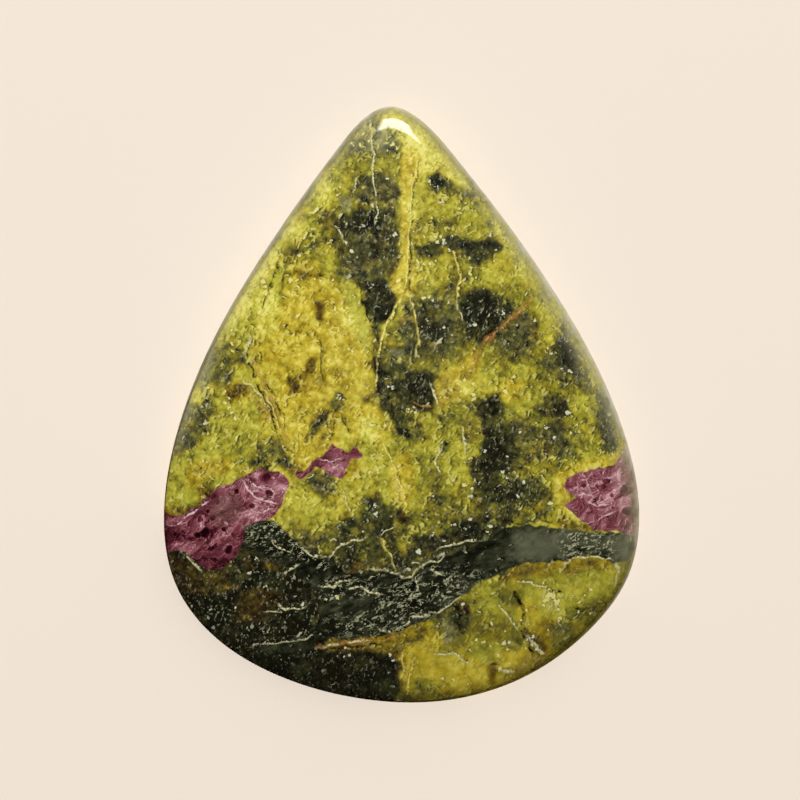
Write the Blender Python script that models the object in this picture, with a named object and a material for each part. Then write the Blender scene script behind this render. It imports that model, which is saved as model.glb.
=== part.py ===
"""A polished pear-shaped cabochon of atlantisite: one solid stone with a flat back and a low dome.

The stone lies on its flat back. The origin is at the middle of its box, on the back's plane, with
+X across the stone, +Y towards its point and +Z out of the dome.
"""

import bmesh
import bpy
import numpy as np

# Driving dimensions, in metres.
LENGTH = 0.0400
WIDTH = 0.0319
THICKNESS = 0.0065

# The flat back has a narrow bevel, whose outer edge is the widest line of the stone.
BACK_BEVEL = 0.0005

# The side leans in as it rises, most towards the upper right and least towards the lower left.
# Its lean is how far it comes in by the height of the edge where it would meet the dome.
EDGE_HEIGHT = 0.0029
SIDE_LEAN = 0.00055
LEAN_CHANGE = 0.00040
LEANS_MOST_TOWARDS = np.radians(40)

# The shoulder rounds that edge off: it starts this far below the edge and ends this far in from it.
SHOULDER_DOWN = 0.0008
SHOULDER_IN = 0.0011

# The dome falls from its summit as this power of the share of the way out. Powers above 2 flatten
# its middle. The summit's place is a share of half the length.
DOME_POWER = 2.4
SUMMIT = -0.17

# Inner contours turn from the outline's pear shape into an ellipse about the summit, so that no
# ridge runs in from the point.
SUMMIT_ELLIPSE = (0.0150, 0.0180)

# The outline, clockwise from the point, as shares of half the width and half the length.
OUTLINE = (
    (-0.050, 1.000),
    (0.074, 0.958),
    (0.232, 0.823),
    (0.398, 0.655),
    (0.636, 0.384),
    (0.806, 0.150),
    (0.931, -0.088),
    (0.998, -0.350),
    (0.952, -0.580),
    (0.796, -0.755),
    (0.510, -0.921),
    (0.160, -1.000),
    (-0.170, -0.992),
    (-0.505, -0.919),
    (-0.806, -0.769),
    (-0.948, -0.612),
    (-0.998, -0.330),
    (-0.942, -0.087),
    (-0.750, 0.282),
    (-0.552, 0.542),
    (-0.244, 0.885),
    (-0.136, 0.974),
)

POINTS_ROUND = 112
SHOULDER_STEPS = 6
DOME_STEPS = 12
STONE_COLOUR = (0.33, 0.31, 0.07, 1.0)
STONE_ROUGHNESS = 0.18


def second_derivatives(values, gaps):
    """What a closed cubic spline's second derivatives are at its knots, which lie these gaps apart."""
    count = len(values)
    before = np.roll(gaps, 1)
    system = np.zeros((count, count))
    rows = np.arange(count)
    system[rows, rows] = 2 * (before + gaps)
    system[rows, (rows + 1) % count] = gaps
    system[rows, (rows - 1) % count] = before
    slopes = (np.roll(values, -1, axis=0) - values) / gaps[:, None]
    return np.linalg.solve(system, 6 * (slopes - np.roll(slopes, 1, axis=0)))


def closed_spline(knots, per_gap):
    """Points on the closed cubic spline through the knots, per_gap of them after each knot."""
    gaps = np.linalg.norm(np.roll(knots, -1, axis=0) - knots, axis=1)
    bends = second_derivatives(knots, gaps)
    following = np.roll(knots, -1, axis=0)
    following_bends = np.roll(bends, -1, axis=0)
    share = (np.arange(per_gap) / per_gap)[None, :, None]
    left = 1 - share
    gap = gaps[:, None, None]
    points = left * knots[:, None] + share * following[:, None]
    points += (left**3 - left) * gap**2 / 6 * bends[:, None]
    points += (share**3 - share) * gap**2 / 6 * following_bends[:, None]
    return points.reshape(-1, 2)


def evenly_spaced(loop, count):
    """count points the same distance apart along a closed loop."""
    closed = np.vstack([loop, loop[:1]])
    run = np.concatenate([[0], np.cumsum(np.linalg.norm(np.diff(closed, axis=0), axis=1))])
    wanted = np.arange(count) / count * run[-1]
    return np.stack([np.interp(wanted, run, closed[:, k]) for k in (0, 1)], axis=1)


def stone_outline():
    """The stone's widest line, with its box centred on the origin and exactly WIDTH by LENGTH."""
    fine = closed_spline(np.array(OUTLINE) * (WIDTH / 2, LENGTH / 2), per_gap=40)
    loop = evenly_spaced(fine, POINTS_ROUND)
    low, high = loop.min(axis=0), loop.max(axis=0)
    return (loop - (low + high) / 2) / (high - low) * (WIDTH, LENGTH)


def shoulder_curve(start, edge, end, step):
    """A point on the curve that leaves start towards the edge and reaches end coming from it."""
    return (1 - step) ** 2 * start + 2 * step * (1 - step) * edge + step**2 * end


def stone_rings():
    """The summit in plan, and the rings of points up the stone from its back, as arrays of (x, y, z)."""
    summit = np.array((0.0, SUMMIT * LENGTH / 2))
    spokes = stone_outline() - summit
    reach = np.linalg.norm(spokes, axis=1)
    spokes /= reach[:, None]
    ellipse = 1 / np.linalg.norm(spokes / SUMMIT_ELLIPSE, axis=1)
    bearing = np.arctan2(spokes[:, 1], spokes[:, 0])
    lean = SIDE_LEAN + LEAN_CHANGE * np.cos(bearing - LEANS_MOST_TOWARDS)

    def ring(share, height):
        """The ring at this share of the way out from the summit, which is 1 on the outline."""
        pear = share**2
        plan = spokes * (share * (pear * reach + (1 - pear) * ellipse))[:, None]
        return np.column_stack([summit + plan, np.broadcast_to(height, reach.shape)])

    # A small inset from the outline, in metres, divided by this is a step in share.
    per_share = 3 * reach - 2 * ellipse
    side_height = EDGE_HEIGHT - BACK_BEVEL
    side_share = lean * (side_height - SHOULDER_DOWN) / side_height / per_share
    edge_share = lean / per_share
    dome_share = 1 - edge_share - SHOULDER_IN / per_share

    # The dome's edge is as high as lets the shoulder meet it along its own slope.
    slope = SHOULDER_IN * DOME_POWER / (dome_share * per_share)
    dome_edge = (EDGE_HEIGHT + slope * THICKNESS) / (1 + slope)

    rings = [ring(1 - BACK_BEVEL / per_share, 0.0), ring(np.ones_like(reach), BACK_BEVEL)]
    for step in np.linspace(0, 1, SHOULDER_STEPS):
        share = shoulder_curve(1 - side_share, 1 - edge_share, dome_share, step)
        rings.append(ring(share, shoulder_curve(EDGE_HEIGHT - SHOULDER_DOWN, EDGE_HEIGHT, dome_edge, step)))
    for out in np.linspace(1, 0, DOME_STEPS, endpoint=False)[1:]:
        rings.append(ring(dome_share * out, THICKNESS - (THICKNESS - dome_edge) * out**DOME_POWER))
    return summit, rings


def stone_mesh():
    summit, rings = stone_rings()
    bm = bmesh.new()
    loops = [[bm.verts.new(point) for point in ring] for ring in rings]
    bm.faces.new(loops[0])
    for lower, upper in zip(loops, loops[1:]):
        for k in range(POINTS_ROUND):
            after = (k + 1) % POINTS_ROUND
            bm.faces.new((lower[k], lower[after], upper[after], upper[k]))
    top = bm.verts.new((*summit, THICKNESS))
    for k, vertex in enumerate(loops[-1]):
        bm.faces.new((vertex, loops[-1][(k + 1) % POINTS_ROUND], top))
    bmesh.ops.recalc_face_normals(bm, faces=bm.faces)
    mesh = bpy.data.meshes.new("stone")
    bm.to_mesh(mesh)
    bm.free()
    return mesh


def stone_material():
    material = bpy.data.materials.new("polished_atlantisite")
    material.use_nodes = True
    shader = material.node_tree.nodes["Principled BSDF"]
    shader.inputs["Base Color"].default_value = STONE_COLOUR
    shader.inputs["Roughness"].default_value = STONE_ROUGHNESS
    shader.inputs["Metallic"].default_value = 0.0
    return material


def main():
    for old in list(bpy.data.objects):
        bpy.data.objects.remove(old)
    mesh = stone_mesh()
    mesh.materials.append(stone_material())
    mesh.shade_smooth()
    mesh.set_sharp_from_angle(angle=np.radians(35))
    bpy.context.scene.collection.objects.link(bpy.data.objects.new("stone", mesh))


main()
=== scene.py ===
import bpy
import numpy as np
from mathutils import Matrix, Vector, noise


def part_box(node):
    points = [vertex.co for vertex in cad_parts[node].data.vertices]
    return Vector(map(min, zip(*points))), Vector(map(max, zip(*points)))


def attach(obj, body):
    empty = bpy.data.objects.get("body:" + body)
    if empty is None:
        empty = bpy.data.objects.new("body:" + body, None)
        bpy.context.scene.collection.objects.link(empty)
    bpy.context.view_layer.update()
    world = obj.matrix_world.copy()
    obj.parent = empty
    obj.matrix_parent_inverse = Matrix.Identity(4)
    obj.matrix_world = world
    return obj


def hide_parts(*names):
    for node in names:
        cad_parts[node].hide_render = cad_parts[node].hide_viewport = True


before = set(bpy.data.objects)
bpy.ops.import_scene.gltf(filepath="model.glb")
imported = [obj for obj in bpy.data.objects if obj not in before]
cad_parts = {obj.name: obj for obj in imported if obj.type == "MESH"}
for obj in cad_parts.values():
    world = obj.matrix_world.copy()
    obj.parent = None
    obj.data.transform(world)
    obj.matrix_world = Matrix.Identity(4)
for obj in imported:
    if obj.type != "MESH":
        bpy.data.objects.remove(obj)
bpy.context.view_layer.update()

# A polished pear-shaped cabochon of atlantisite on a pale floor, seen from straight above.
#
# The stone is one piece: a fine mesh of the CAD solid's own shape. Its markings are drawn in two
# steps. Patches, spots and veins are given in the pixels of the 800 x 800 photograph, and
# give each point of the mesh a few soft values: how dark the serpentine is there, how warm, how pale,
# and so on. The material's nodes turn those values into colour, and add all that is finer than them.

LOW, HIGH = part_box("stone")
LENGTH = HIGH.y - LOW.y
THICKNESS = HIGH.z - LOW.z

# The shape, as in part.py, in metres.
BACK_BEVEL = 0.0005
EDGE_HEIGHT = 0.0029
SIDE_LEAN = 0.00055
LEAN_CHANGE = 0.00040
LEANS_MOST_TOWARDS = np.radians(40)
SHOULDER_DOWN = 0.0008
SHOULDER_IN = 0.0011
DOME_POWER = 2.4
SUMMIT = np.array((0.0, -0.17 * LENGTH / 2))
SUMMIT_ELLIPSE = (0.0150, 0.0180)

# How far apart the fine mesh's points lie, in metres.
FRONT_SPACING = 0.000108
SIDE_SPACING = 0.000150
BACK_SPACING = 0.00034
FEWEST_IN_RING = 8
SHOULDER_RINGS = 16
SIDE_RINGS = 8

# The photograph: the stone's box is centred on this pixel, and its length is this many pixels.
PHOTO_CENTRE = np.array((401.5, 404.5))
PHOTO_LENGTH = 595
PHOTO_WIDTH = 800
PIXEL = LENGTH / PHOTO_LENGTH

# The camera looks straight down from this far above the floor.
LENS_MM = 200
SENSOR_MM = 36
CAMERA_HEIGHT = PHOTO_WIDTH * PIXEL * LENS_MM / SENSOR_MM
CAMERA_CENTRE = (np.array((400, 400)) - PHOTO_CENTRE) * (PIXEL, -PIXEL)

# The markings slant through the stone, this far sideways for each metre down. They also bend by a
# wander, given by its size in metres, its amount and its seed, and draw in by a share a metre.
DIP = np.array((0.30, -0.45))
DIP_BEND = (0.004, 0.35, 5)
DRAWN_IN = 22

# The edges of the markings wander too, by an amount in pixels. The ground's edges are looser.
LOOSE_WANDERS = ((0.0011, 2.4, 1), (0.0004, 2.4, 2))
CRISP_WANDER = (0.0006, 2.4, 3)
NOISE_SEED = 1795472798  # without it, Blender's vector noise is seeded from the clock
EDGE_REACH = 10  # pixels from the edge of the band or the stichtite at which it is forgotten
OUTLINE_STEPS = 3  # points that a smooth outline has for each one given


# ------------------------------------------------------------------ the stone's shape


def closed_curve(knots, per_gap):
    """A smooth closed curve through the knots: a Catmull-Rom spline."""
    step = (np.arange(per_gap) / per_gap)[None, :, None]
    before, here, after, beyond = (np.roll(knots, -k, axis=0)[:, None] for k in (-1, 0, 1, 2))
    points = 2 * here + (after - before) * step
    points = points + (2 * before - 5 * here + 4 * after - beyond) * step**2
    points = points + (3 * here - before - 3 * after + beyond) * step**3
    return (points / 2).reshape(-1, knots.shape[1])


def bearing_of(points):
    return np.arctan2(points[:, 1] - SUMMIT[1], points[:, 0] - SUMMIT[0])


def stone_outline():
    """The widest line of the CAD stone, read from the frame, as a fine closed curve."""
    solid = np.array([v.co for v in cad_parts["stone"].data.vertices])
    widest = solid[np.abs(solid[:, 2] - BACK_BEVEL) < 1e-5][:, :2]
    widest = np.unique(np.round(widest, 7), axis=0)
    widest = widest[np.argsort(bearing_of(widest))]
    return closed_curve(widest, per_gap=24)


class Shape:
    """The stone's surface: for each bearing from the summit, how far out and how high it runs."""

    def __init__(self):
        spokes = stone_outline() - SUMMIT
        self.reach = np.linalg.norm(spokes, axis=1)
        self.spokes = spokes / self.reach[:, None]
        self.ellipse = 1 / np.linalg.norm(self.spokes / SUMMIT_ELLIPSE, axis=1)
        bearing = np.arctan2(self.spokes[:, 1], self.spokes[:, 0])
        lean = SIDE_LEAN + LEAN_CHANGE * np.cos(bearing - LEANS_MOST_TOWARDS)
        self.per_share = 3 * self.reach - 2 * self.ellipse
        side_height = EDGE_HEIGHT - BACK_BEVEL
        self.side_share = 1 - lean * (side_height - SHOULDER_DOWN) / side_height / self.per_share
        self.edge_share = 1 - lean / self.per_share
        self.dome_share = self.edge_share - SHOULDER_IN / self.per_share
        slope = SHOULDER_IN * DOME_POWER / (self.dome_share * self.per_share)
        self.dome_edge = (EDGE_HEIGHT + slope * THICKNESS) / (1 + slope)

    def dome_height(self, share):
        return THICKNESS - (THICKNESS - self.dome_edge) * (share / self.dome_share) ** DOME_POWER

    def ring(self, share, height):
        """A closed curve round the stone, as rows of x, y, z and the depth under the dome."""
        pear = share**2
        plan = self.spokes * (share * (pear * self.reach + (1 - pear) * self.ellipse))[:, None]
        height = np.broadcast_to(height, self.reach.shape)
        return np.column_stack([SUMMIT + plan, height, self.dome_height(share) - height])

    def rings(self):
        """Every ring from the summit out over the dome, down the side and in across the back, each
        with the island of the UV map that it ends a strip of, and the spacing of its points."""
        full = np.ones_like(self.reach)
        dome_steps = round(self.dome_share.mean() * self.reach.mean() / FRONT_SPACING)
        for out in np.linspace(0, 1, dome_steps)[1:]:
            share = self.dome_share * out
            yield "front", FRONT_SPACING, self.ring(share, self.dome_height(share))
        for step in np.linspace(1, 0, SHOULDER_RINGS + 1)[1:]:
            share = shoulder_curve(self.side_share, self.edge_share, self.dome_share, step)
            height = shoulder_curve(EDGE_HEIGHT - SHOULDER_DOWN, EDGE_HEIGHT, self.dome_edge, step)
            island = "front" if step > 0.5 else "side"
            yield island, FRONT_SPACING, self.ring(share, height)
        for step in np.linspace(1, 0, SIDE_RINGS + 1)[1:]:
            share = full + (self.side_share - full) * step
            height = BACK_BEVEL + (EDGE_HEIGHT - SHOULDER_DOWN - BACK_BEVEL) * step
            yield "side", SIDE_SPACING, self.ring(share, height)
        bevel_share = full - BACK_BEVEL / self.per_share
        yield "side", SIDE_SPACING, self.ring((full + bevel_share) / 2, BACK_BEVEL / 2)
        yield "side", SIDE_SPACING, self.ring(bevel_share, 0.0)
        back_steps = round(self.reach.mean() / BACK_SPACING)
        for out in np.linspace(1, 0, back_steps, endpoint=False)[1:]:
            yield "back", BACK_SPACING, self.ring(bevel_share * out, 0.0)


def shoulder_curve(start, edge, end, step):
    return (1 - step) ** 2 * start + 2 * step * (1 - step) * edge + step**2 * end


def evenly_spaced(ring, spacing):
    """Points about this far apart along a closed curve, starting where it starts."""
    closed = np.vstack([ring, ring[:1]])
    run = np.concatenate([[0], np.cumsum(np.linalg.norm(np.diff(closed[:, :3], axis=0), axis=1))])
    count = max(FEWEST_IN_RING, round(run[-1] / spacing))
    wanted = np.arange(count) / count * run[-1]
    return np.stack([np.interp(wanted, run, column) for column in closed.T], axis=1)


def strip(inner, inner_count, outer, outer_count):
    """Triangles between two rings, or a ring and a point, each given by its first point's number and
    its count of points."""
    faces = []
    i, i_end = 0, inner_count if inner_count > 1 else 0
    j, j_end = 0, outer_count if outer_count > 1 else 0
    while i < i_end or j < j_end:
        a, b = inner + i % inner_count, outer + j % outer_count
        if j == j_end or (i < i_end and (i + 1) * outer_count < (j + 1) * inner_count):
            i += 1
            faces.append((a, b, inner + i % inner_count))
        else:
            j += 1
            faces.append((a, b, outer + j % outer_count))
    return faces


class Surface:
    """The fine mesh. Each point has a place and depth, the number of its ring, and how far round the
    stone it lies, as a share. Each triangle has the number of the ring that it reaches out to."""

    def __init__(self):
        islands, rings = ["front"], [np.array([[*SUMMIT, THICKNESS, 0.0]])]
        for island, spacing, ring in Shape().rings():
            islands.append(island)
            rings.append(evenly_spaced(ring, spacing))
        islands.append("back")
        rings.append(np.array([[*SUMMIT, 0.0, THICKNESS]]))
        counts = np.array([len(ring) for ring in rings])
        starts = np.concatenate([[0], np.cumsum(counts)])
        self.points = np.vstack(rings)
        self.ring = np.repeat(np.arange(len(rings)), counts)
        self.turn = np.concatenate([np.arange(count) / count for count in counts])
        strips = [strip(starts[k], counts[k], starts[k + 1], counts[k + 1]) for k in range(len(rings) - 1)]
        self.faces = np.vstack(strips)
        self.face_ring = np.repeat(np.arange(len(strips)) + 1, [len(faces) for faces in strips])
        self.face_island = np.array(islands)[self.face_ring]
        middles = np.array([np.abs(ring[:, :3] - (*SUMMIT, 0)).max(axis=0) for ring in rings])
        steps = np.linalg.norm(np.diff(middles[:, 1:], axis=0), axis=1)
        self.run_out = np.concatenate([[0], np.cumsum(steps)])


# ------------------------------------------------------------------ the ground colours
#
# Every outline and line below is a run of places in the photograph's pixels: x,y, x,y and so on.

# Each kind of ground: how dark it is, how warm (below 0 is greener), and how grey.
GROUND = {
    "bright": (0.10, 0.1, 0.0),
    "gold": (0.23, 0.9, 0.1),
    "yellow": (0.26, 0.0, 0.0),
    "golden": (0.25, 0.8, 0.0),
    "lime": (0.34, -0.3, 0.0),
    "cream": (0.20, 0.9, 0.3),
    "tan": (0.36, 1.0, 0.3),
    "moss": (0.43, 0.0, 0.1),
    "smoky": (0.43, 0.0, 0.7),
    "ochre": (0.50, 0.8, 0.2),
    "olive": (0.52, 0.1, 0.2),
    "dusk": (0.60, 0.1, 0.4),
    "brown": (0.63, 1.2, 0.0),
    "dark": (0.69, 0.0, 0.3),
    "umber": (0.75, 0.7, 0.1),
    "black": (0.82, -0.1, 0.2),
    "jet": (0.90, 0.0, 0.1),
}

# Patches of ground, from the first laid to the last: kind, softness of the edge, outline.
PATCHES = (
    # The top: bright to the right of the vein, smoky and olive under the tip.
    ("bright", 12, (386,106, 440,140, 456,172, 430,184, 396,160, 372,128)),
    ("bright", 6, (436,150, 456,160, 468,184, 452,182, 438,172)),
    ("lime", 8, (330,160, 352,140, 356,200, 322,214, 305,204)),
    ("olive", 6, (345,146, 372,122, 396,132, 400,150, 399,176, 396,205, 354,205, 344,190, 342,166)),
    ("smoky", 5, (350,140, 372,126, 396,136, 396,150, 380,154, 352,154)),
    ("moss", 6, (350,157, 398,155, 400,171, 352,174)),
    ("dusk", 5, (360,180, 380,173, 398,178, 398,202, 366,200)),
    ("bright", 4, (315,176, 326,162, 330,176, 330,204, 320,208)),
    ("moss", 8, (296,206, 316,198, 326,214, 326,236, 300,250, 286,240)),
    # The wide golden field of the left, and the yellows round it.
    ("golden", 18, (276,262, 340,256, 366,300, 376,350, 374,392, 330,420, 270,400, 258,320)),
    ("lime", 12, (250,292, 280,262, 284,290, 262,330, 240,344, 236,320)),
    ("bright", 6, (256,292, 276,290, 278,330, 258,334)),
    ("bright", 5, (228,310, 258,262, 284,220, 318,168, 348,124, 356,130, 322,184, 286,236, 282,256, 264,282,
        244,318, 228,330)),
    ("olive", 6, (284,238, 314,234, 322,254, 300,262, 286,258)),
    ("olive", 6, (316,212, 336,216, 338,244, 322,240)),
    ("moss", 7, (318,250, 342,254, 346,272, 318,274)),
    ("lime", 8, (340,278, 356,284, 372,330, 366,352, 350,320)),
    ("gold", 8, (352,410, 384,406, 388,440, 354,446, 346,428)),
    ("bright", 4, (358,420, 378,418, 380,438, 360,440)),
    ("golden", 12, (285,425, 332,425, 332,456, 300,470, 288,452)),
    ("lime", 14, (182,448, 250,430, 262,462, 232,478, 180,512, 164,490)),
    ("tan", 6, (192,464, 230,460, 226,472, 200,482, 190,488)),
    ("moss", 5, (262,440, 288,438, 292,462, 272,468, 258,464)),
    ("golden", 9, (266,400, 292,410, 290,450, 272,430)),
    ("gold", 5, (284,424, 306,422, 312,436, 306,452, 292,448)),
    ("tan", 8, (316,408, 338,412, 336,442, 316,442)),
    ("tan", 7, (292,376, 322,374, 322,398, 296,400)),
    ("tan", 5, (284,460, 304,460, 300,478, 284,476)),
    ("ochre", 4, (240,466, 262,463, 288,464, 298,472, 286,476, 262,472, 240,476)),
    ("dark", 3, (252,458, 288,456, 290,468, 270,474, 252,474)),
    # The upper right.
    ("yellow", 10, (418,190, 470,196, 500,226, 520,258, 470,290, 410,290, 410,210)),
    ("moss", 6, (436,218, 462,208, 462,236, 436,238, 426,228)),
    ("moss", 7, (436,258, 480,264, 480,280, 436,282)),
    ("moss", 6, (414,284, 448,282, 452,296, 418,298)),
    ("moss", 6, (460,198, 476,200, 486,212, 462,216)),
    ("lime", 6, (464,213, 486,212, 494,230, 470,236)),
    ("bright", 5, (424,130, 446,152, 470,182, 484,198, 476,200, 456,180, 436,156)),
    ("bright", 2, (494,228, 502,229, 503,240, 495,239)),
    ("yellow", 8, (486,260, 518,258, 524,280, 500,285, 484,277)),
    ("moss", 8, (500,282, 536,288, 548,306, 528,312, 500,298)),
    ("yellow", 5, (536,300, 550,304, 556,326, 548,342, 538,330)),
    # The right middle: yellow and bright between darker clouds.
    ("moss", 12, (440,345, 500,340, 540,352, 548,400, 560,420, 500,420, 470,420, 440,400)),
    ("moss", 8, (440,344, 500,342, 504,364, 470,370, 440,372)),
    ("olive", 5, (436,356, 460,352, 462,364, 446,376, 434,378)),
    ("yellow", 8, (476,366, 500,366, 500,388, 478,396, 470,382)),
    ("dusk", 5, (500,354, 520,352, 518,368, 504,372)),
    ("lime", 7, (506,372, 528,362, 546,376, 544,396, 530,414, 508,412, 504,390)),
    ("yellow", 6, (512,374, 530,366, 532,384, 524,408, 512,404)),
    ("olive", 6, (536,374, 560,380, 592,384, 592,398, 566,402, 546,394)),
    ("lime", 6, (574,396, 592,398, 600,404, 596,424, 578,424, 570,408)),
    ("moss", 9, (556,422, 604,424, 616,450, 560,458)),
    ("golden", 4, (562,466, 600,457, 624,450, 626,460, 600,467, 566,475)),
    # The middle, under the long dark cloud.
    ("yellow", 9, (350,450, 384,444, 396,480, 392,500, 362,492, 346,478)),
    ("lime", 12, (400,412, 470,412, 474,470, 468,500, 440,512, 404,505, 398,450)),
    ("moss", 8, (418,412, 446,410, 448,440, 420,440)),
    ("moss", 6, (452,412, 476,412, 474,426, 456,426)),
    ("yellow", 5, (456,440, 466,440, 466,466, 456,466)),
    ("golden", 5, (394,452, 412,456, 418,484, 408,500, 402,486)),
    ("lime", 8, (430,455, 470,452, 474,480, 440,482)),
    ("moss", 8, (404,510, 436,500, 450,490, 484,486, 500,516, 440,524, 404,530)),
    ("olive", 8, (446,496, 486,490, 500,514, 452,518)),
    ("moss", 9, (498,462, 560,458, 562,476, 548,480, 548,516, 505,512, 490,500)),
    ("olive", 6, (504,503, 546,500, 548,517, 520,523, 504,517)),
    ("olive", 5, (536,496, 552,492, 554,516, 536,518)),
    ("gold", 2, (557,476, 566,473, 563,490, 568,506, 562,516, 558,508)),
    ("ochre", 4, (558,514, 578,519, 602,532, 584,533, 558,527)),
    ("yellow", 10, (268,492, 300,478, 350,484, 350,504, 322,522, 314,536, 300,526, 262,514)),
    ("yellow", 6, (312,496, 344,494, 342,508, 314,510)),
    ("moss", 6, (306,520, 330,517, 344,514, 338,526, 316,528)),
    ("dusk", 7, (270,530, 296,528, 318,532, 338,520, 336,540, 318,554, 300,550)),
    ("dark", 8, (338,524, 356,516, 402,530, 440,530, 468,522, 500,510, 514,522, 490,556, 440,580, 400,592,
        350,592, 322,566, 334,546)),
    ("brown", 4, (352,562, 366,563, 367,574, 353,576)),
    ("dark", 5, (362,548, 380,538, 394,536, 394,550, 386,566, 366,574)),
    ("moss", 4, (398,538, 412,536, 412,550, 400,552)),
    ("dark", 4, (346,526, 363,524, 366,543, 348,544)),
    ("olive", 6, (400,516, 440,514, 450,526, 410,530)),
    # The lower right.
    ("moss", 12, (428,592, 480,582, 560,566, 636,556, 620,640, 520,702, 396,704, 398,640)),
    ("golden", 10, (396,636, 428,618, 440,644, 436,690, 398,694)),
    ("lime", 8, (476,590, 510,582, 560,585, 606,592, 590,618, 540,625, 500,640)),
    ("golden", 7, (516,600, 540,606, 548,640, 524,636)),
    ("olive", 7, (496,584, 522,582, 524,604, 500,604)),
    ("olive", 7, (466,612, 498,614, 520,632, 522,650, 500,652, 470,634)),
    ("lime", 6, (476,640, 500,642, 500,656, 476,656)),
    ("golden", 9, (440,658, 486,662, 500,686, 440,692)),
    ("golden", 6, (494,654, 520,656, 520,684, 496,684)),
    ("ochre", 5, (500,572, 520,562, 604,558, 612,568, 560,572, 505,582)),
    ("lime", 6, (560,577, 610,573, 608,596, 590,606, 562,602)),
    ("tan", 6, (514,656, 545,645, 550,664, 520,678)),
    ("ochre", 6, (536,622, 560,620, 558,640, 540,644)),
    ("yellow", 6, (538,594, 562,592, 562,612, 540,614)),
    ("ochre", 5, (402,624, 424,618, 426,640, 402,642)),
    ("olive", 6, (578,608, 600,598, 618,584, 600,624, 566,652, 554,642)),
    # The long dark cloud down the middle.
    ("dark", 6, (352,212, 336,219, 331,228, 336,248, 345,262, 358,280, 366,305, 374,335, 373,347, 377,385,
        364,400, 378,402, 388,415, 402,433, 415,420, 436,404, 430,380, 446,350, 442,300, 424,300, 410,316,
        404,345, 385,345, 380,322, 399,297, 386,280, 394,262, 391,250, 399,228, 396,208, 376,207)),
    ("black", 5, (340,217, 352,211, 388,209, 396,226, 384,236, 366,230, 346,238)),
    ("dusk", 5, (350,236, 372,232, 384,238, 384,250, 356,250)),
    ("black", 5, (374,244, 393,246, 390,260, 374,258)),
    ("dusk", 6, (354,262, 382,262, 384,280, 366,282)),
    ("black", 5, (364,284, 384,282, 396,293, 390,310, 380,323, 368,308)),
    ("dusk", 5, (384,352, 412,350, 414,366, 392,368)),
    ("dark", 4, (384,368, 404,366, 404,382, 386,384)),
    ("moss", 5, (414,364, 430,362, 432,377, 416,378)),
    ("black", 4, (375,360, 381,360, 383,384, 377,390)),
    ("black", 7, (398,380, 432,374, 438,400, 420,408, 404,404)),
    ("dark", 4, (386,400, 398,402, 406,424, 411,438, 404,438, 394,426)),
    ("olive", 4, (403,409, 420,408, 418,421, 407,420)),
    ("moss", 4, (388,326, 400,320, 406,332, 398,344, 386,343)),
    ("dusk", 5, (404,304, 418,302, 424,344, 404,346)),
    ("dark", 4, (420,304, 442,302, 442,342, 424,344)),
    ("gold", 3, (403,152, 419,154, 416,180, 408,205, 409,240, 418,284, 404,297, 396,297, 391,286, 393,272,
        398,264, 400,246, 402,226, 401,205, 402,180)),
    # Dark spots and smears of the upper right.
    ("dark", 5, (428,178, 436,172, 446,176, 454,188, 468,191, 480,198, 470,201, 450,195, 434,192)),
    ("black", 3, (430,178, 442,176, 446,188, 434,190)),
    ("dark", 4, (417,245, 426,245, 440,238, 458,232, 464,240, 484,240, 488,232, 496,240, 504,248, 492,258,
        480,266, 466,258, 444,256, 426,258, 417,254)),
    ("black", 3, (456,243, 484,241, 502,245, 500,251, 480,249, 458,249)),
    ("olive", 4, (444,248, 460,248, 462,258, 448,260)),
    ("dark", 5, (448,301, 468,290, 490,289, 512,303, 516,310, 508,318, 498,328, 480,341, 460,345, 444,342,
        438,318)),
    ("dusk", 6, (440,302, 458,302, 458,344, 442,344)),
    ("dark", 5, (478,322, 500,318, 502,334, 488,344, 474,342)),
    ("black", 6, (466,294, 494,295, 494,314, 486,334, 468,336, 462,314)),
    ("dusk", 7, (500,322, 530,312, 544,336, 536,352, 512,358, 494,350)),
    ("dusk", 5, (558,332, 566,328, 582,360, 590,384, 580,390, 560,382, 546,374, 536,366, 546,350)),
    ("black", 4, (558,342, 568,344, 576,366, 568,370, 558,358)),
    ("dark", 5, (592,394, 604,396, 612,424, 618,448, 606,450, 598,430, 598,412)),
    # Dark clouds of the right middle.
    ("dusk", 6, (506,420, 545,416, 566,424, 566,454, 540,463, 512,470, 500,450)),
    ("dark", 6, (540,397, 554,392, 566,402, 570,416, 560,424, 546,422, 538,412)),
    ("dark", 5, (480,402, 492,396, 504,404, 502,420, 485,424, 477,412)),
    ("black", 3, (488,398, 497,399, 497,411, 489,411)),
    ("dark", 5, (480,424, 500,418, 512,430, 520,450, 512,478, 484,482, 470,476, 469,462, 481,455)),
    ("black", 5, (484,434, 504,430, 514,448, 508,468, 486,474, 481,460)),
    ("dark", 6, (474,474, 512,472, 542,478, 542,498, 514,506, 480,504)),
    ("black", 4, (480,478, 498,476, 502,500, 484,500)),
    ("moss", 5, (512,474, 536,462, 562,459, 562,468, 540,474, 522,480)),
    ("olive", 5, (430,472, 444,476, 446,506, 432,506, 426,490)),
    # Clouds of the left edge and the middle left.
    ("smoky", 4, (204,345, 218,345, 214,372, 200,408, 190,436, 178,450, 168,450, 185,395)),
    ("dusk", 5, (218,352, 234,346, 246,354, 246,368, 234,366, 232,380, 222,390, 214,380)),
    ("brown", 4, (232,384, 246,386, 246,397, 228,400)),
    ("dusk", 5, (202,398, 214,398, 212,412, 204,436, 192,448, 180,448, 190,420)),
    ("dusk", 4, (257,444, 268,440, 280,437, 288,450, 278,464, 264,465, 256,452)),
    ("dark", 3, (336,392, 343,397, 338,406, 328,416, 320,430, 310,441, 304,436, 313,422, 324,412, 331,400)),
    ("dusk", 3, (332,396, 343,396, 344,407, 334,409)),
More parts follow.
